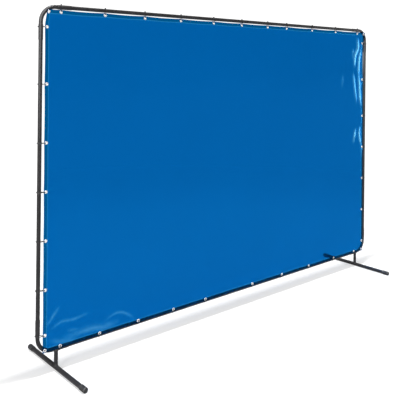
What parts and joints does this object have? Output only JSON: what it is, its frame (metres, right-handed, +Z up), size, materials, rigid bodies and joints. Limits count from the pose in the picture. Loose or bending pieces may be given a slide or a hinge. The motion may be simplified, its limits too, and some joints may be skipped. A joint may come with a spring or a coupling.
{
  "type": "curtain screen",
  "caption": "Free-standing screen: a round tube frame with rounded corners on two cross feet, and a tinted see-through vinyl curtain tied to it all round.",
  "frame": {"origin": "on the floor under the middle of the frame", "axes": "+X along the width of the screen, -Y towards the front face of the curtain, +Z up"},
  "size_m": [3.0078, 0.64, 1.9936],
  "materials": {
    "frame_paint": "satin charcoal powder coat",
    "cap_plastic": "moulded black, fine texture",
    "vinyl": "glossy tinted transparent vinyl",
    "grommet_metal": "bright nickel plate",
    "tie_nylon": "black nylon"
  },
  "bodies": {
    "screen": {"corner_top_left": "frame_paint", "corner_top_right": "frame_paint", "corner_bottom_left": "frame_paint", "corner_bottom_right": "frame_paint", "post_left_upper": "frame_paint", "post_left_lower": "frame_paint", "post_right_upper": "frame_paint", "post_right_lower": "frame_paint", "top_rail_left": "frame_paint", "top_rail_right": "frame_paint", "bottom_rail_left": "frame_paint", "bottom_rail_right": "frame_paint", "curtain": "vinyl", "grommets_top": "grommet_metal", "grommets_bottom": "grommet_metal", "grommets_left": "grommet_metal", "grommets_right": "grommet_metal", "grommets_corner": "grommet_metal", "washers_top": "grommet_metal", "washers_bottom": "grommet_metal", "washers_left": "grommet_metal", "washers_right": "grommet_metal", "washers_corner": "grommet_metal", "ties_top": "tie_nylon", "ties_bottom": "tie_nylon", "ties_left": "tie_nylon", "ties_right": "tie_nylon"},
    "left_foot": {"foot_left": "frame_paint", "foot_left_cap_front": "cap_plastic", "foot_left_cap_back": "cap_plastic"},
    "right_foot": {"foot_right": "frame_paint", "foot_right_cap_front": "cap_plastic", "foot_right_cap_back": "cap_plastic"}
  },
  "joints": [
    {"name": "left_foot_swivel", "type": "hinge", "parent": "screen", "child": "left_foot", "pos_m": [-1.38, 0, 0.03], "axis": [0, 0, 1], "continuous": true},
    {"name": "right_foot_swivel", "type": "hinge", "parent": "screen", "child": "right_foot", "pos_m": [1.38, 0, 0.03], "axis": [0, 0, 1], "continuous": true}
  ]
}
